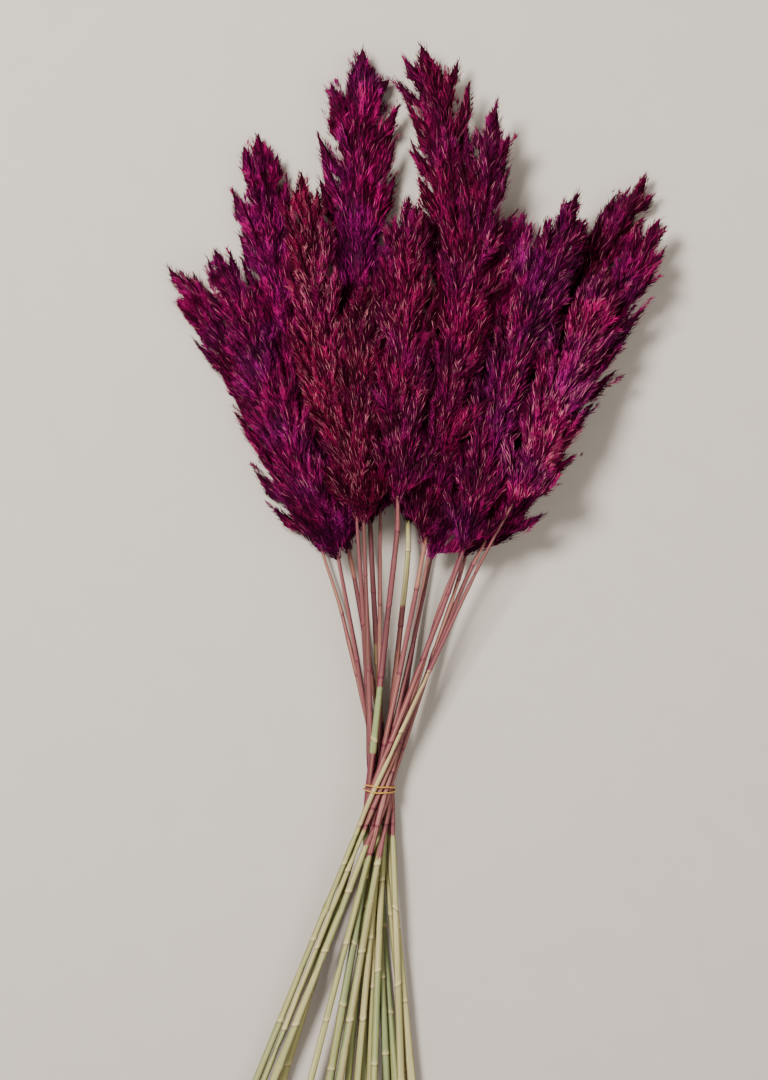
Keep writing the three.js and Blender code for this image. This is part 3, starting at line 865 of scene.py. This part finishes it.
def lean_along(random, y, low, high, joints, sheath_ends):
    """How much each ring slants, across and up: each joint and edge of a sheath leans its own way."""
    edges = [end for end in sheath_ends if low + SLANT_CLEAR < end < high - SLANT_CLEAR]
    spots = np.array([*joints, *edges])
    full = np.where(np.arange(len(spots)) < len(joints), JOINT_SLANT, SHEATH_SLANT)
    slants = full * random.uniform(*SLANT_RANGE, len(spots))
    ways = random.uniform(0, 2 * math.pi, len(spots))
    lean = np.zeros((2, len(y)))
    for bump, slant, way in zip(bumps(y, spots, SLANT_WIDTH), slants, ways):
        lean += slant * bump * np.array([[math.cos(way)], [math.sin(way)]])
    return lean * np.clip(np.minimum(y - low, high - y) / SLANT_EASE, 0, 1)


def inset(loop, share, shift, shade):
    """A loop drawn in towards its middle, shifted along the stem and darkened."""
    ring, tone, strip, dye = loop
    middle = ring.mean(axis=0)
    ring = middle + (ring - middle) * share + np.array([0, shift, 0])
    tone = tone.copy()
    tone[:, 0] = shade
    return ring, tone, strip, dye


def tube_triangles(rows, sides):
    """Walls between rows of corners, and a fan over each end."""
    row, side = np.meshgrid(np.arange(rows - 1), np.arange(sides), indexing="ij")
    a = row * sides + side
    b = row * sides + (side + 1) % sides
    walls = [np.stack([a, a + sides, b], axis=-1), np.stack([b, a + sides, b + sides], axis=-1)]
    triangles = [wall.reshape(-1, 3) for wall in walls]
    fan = np.arange(1, sides - 1)
    end = (rows - 1) * sides
    triangles.append(np.stack([np.zeros_like(fan), fan, fan + 1], axis=1))
    triangles.append(np.stack([np.full_like(fan, end), end + fan + 1, end + fan], axis=1))
    return np.concatenate(triangles)


def build_stem(number, part, material, seed):
    """One length of a stem: its sheaths and joints, its slants, its dye and its ends."""
    node = f"{part}_{number}"
    cut_end = part == "culm"
    random = np.random.default_rng(seed)
    pair = np.random.default_rng(PAIR_SEED + int(number))
    shared_tone = pair.uniform(*STEM_TONES)
    stretch = pair.uniform(0, GRAIN_STRETCHES)
    dye_end = DIP_LINE + pair.choice(DYE_SHIFTS)
    ys, xs, zs, radii = stem_course(node, cut_end)
    joints, plain_radii = joints_along(ys, radii)
    low = ys[0] - (0 if cut_end else MEET_BELOW)
    high = ys[-1] + (MEET_ABOVE if cut_end else 0)

    marks = [low, *joints, high]
    sheath_ends = [a + (b - a) * random.uniform(*SHEATH_SHARE) for a, b in zip(marks[:-1], marks[1:])]
    y = heights_along(low, high, joints, sheath_ends)
    section = np.clip(np.searchsorted(marks, y, side="right") - 1, 0, len(sheath_ends) - 1)
    sheathed = (y <= np.array(sheath_ends)[section]).astype(float)
    tones = np.clip(shared_tone + random.uniform(-TONE_SPREAD, TONE_SPREAD, len(sheath_ends)), 0, 1)
    tones[-1 if cut_end else 0] = shared_tone
    radius = np.interp(y, ys, plain_radii) + SHEATH_THICKNESS * sheathed
    radius, crease, collar = shape_joints(y, radius, joints)
    lean = lean_along(random, y, low, high, joints, sheath_ends)

    angle = np.linspace(0, 2 * math.pi, STEM_SIDES, endpoint=False)
    ribs = 1 + RIB_HEIGHT * np.sin(angle * RIBS + random.uniform(0, RIB_TURN))
    across = np.cos(angle) * ribs * radius[:, None]
    up = np.sin(angle) * ribs * radius[:, None]
    x = smooth_between(y, ys, xs)[:, None] + across
    slanted = y[:, None] + across * lean[0][:, None] + up * lean[1][:, None]
    corners = np.stack([x, slanted, smooth_between(y, ys, zs)[:, None] + up], axis=2)
    tone = np.stack([crease, tones[section], sheathed, collar], axis=1)
    tone = np.repeat(tone[:, None], STEM_SIDES, axis=1)
    around = np.broadcast_to(np.cos(angle) + stretch, corners.shape[:2])
    strip = np.stack([around, np.broadcast_to(np.sin(angle), corners.shape[:2]), slanted], axis=2)

    ragged = slanted + pair.normal(size=STEM_SIDES) * DYE_RAGGED
    dye = np.clip((ragged - dye_end) / DYE_EDGE, 0, 1)
    if not cut_end and number in MISSED:
        start, end, left, bare = MISSED[number]
        inside = (y > start) & (y < end)
        dye[inside] = np.minimum(dye[inside], left)
        tone[inside, :, 1] = bare

    loops = list(zip(corners, tone, strip, dye))
    foot = [inset(loops[0], *step) for step in (HOLLOW_END if cut_end else CLOSED_END)]
    head = [inset(loops[-1], *step) for step in CLOSED_END]
    loops = [*foot, *loops, *head]
    corners, tone, strip, dye = (np.concatenate(column) for column in zip(*loops))
    corners[:, 2] = np.maximum(corners[:, 2], 0)
    triangles = tube_triangles(len(loops), STEM_SIDES)
    made = make_object(f"reed_{node}", corners, triangles, tone, material, smooth=True, strip=strip, dye=dye)
    stand_for(made, node)


def build_band():
    corners, triangles = cad_arrays("band")
    tone = np.ones((len(corners), 4))
    made = make_object("elastic", corners, triangles, tone, band_material(), smooth=True)
    rounding = made.modifiers.new("round", "SUBSURF")
    rounding.levels = BAND_ROUNDING
    rounding.render_levels = BAND_ROUNDING
    stand_for(made, "band")


dyed = reed_material("reed_dyed")
plain = reed_material("reed_plain")
for order, (number, looks) in enumerate(PLUMES.items()):
    build_plume(number, *looks, PLUME_SEED + order)
    build_stem(number, "stem", dyed, STEM_SEED + order)
    build_stem(number, "culm", plain, CULM_SEED + order)
build_band()


# The stage: a plain pale floor under soft light


def build_floor():
    mesh = bpy.data.meshes.new("floor")
    half = FLOOR_HALF
    corners = [(-half, -half, 0), (half, -half, 0), (half, half, 0), (-half, half, 0)]
    mesh.from_pydata(corners, [], [(0, 1, 2, 3)])
    made = Nodes("floor_paper")
    grain = made.noise(made.place(), scale=35.0, detail=5.0)
    mesh.materials.append(made.finish(made.mix(grain, *FLOOR_TONES), roughness=0.9))
    floor = bpy.data.objects.new("floor", mesh)
    bpy.context.scene.collection.objects.link(floor)


def add_light(name, place, size, power, aim):
    """A round soft light at a place, turned towards what it aims at."""
    data = bpy.data.lights.new(name, "AREA")
    data.shape = "DISK"
    data.size = size
    data.energy = power
    light = bpy.data.objects.new(name, data)
    light.location = place
    reach = [aim[i] - place[i] for i in range(3)]
    flat = math.hypot(reach[0], reach[1])
    light.rotation_euler = (math.atan2(flat, -reach[2]), 0, math.atan2(-reach[0], reach[1]))
    bpy.context.scene.collection.objects.link(light)


build_floor()
add_light("key", place=(-1.0, 0.9, 2.15), size=0.7, power=90, aim=(0, 0.1, 0))
add_light("fill", place=(1.4, -0.4, 2.0), size=2.0, power=17, aim=(0, 0, 0))
world = bpy.data.worlds.new("soft_room")
world.use_nodes = True
room = world.node_tree.nodes["Background"].inputs
room["Color"].default_value = (*ROOM_COLOUR, 1)
room["Strength"].default_value = ROOM_LIGHT
bpy.context.scene.world = world

camera_data = bpy.data.cameras.new("camera")
camera_data.lens = LENS
camera_data.sensor_width = SENSOR
camera = bpy.data.objects.new("camera", camera_data)
camera.location = (*VIEW_MIDDLE, VIEW_LEVEL + VIEW_ROWS * PIXEL * LENS / SENSOR)
bpy.context.scene.collection.objects.link(camera)
bpy.context.scene.camera = camera
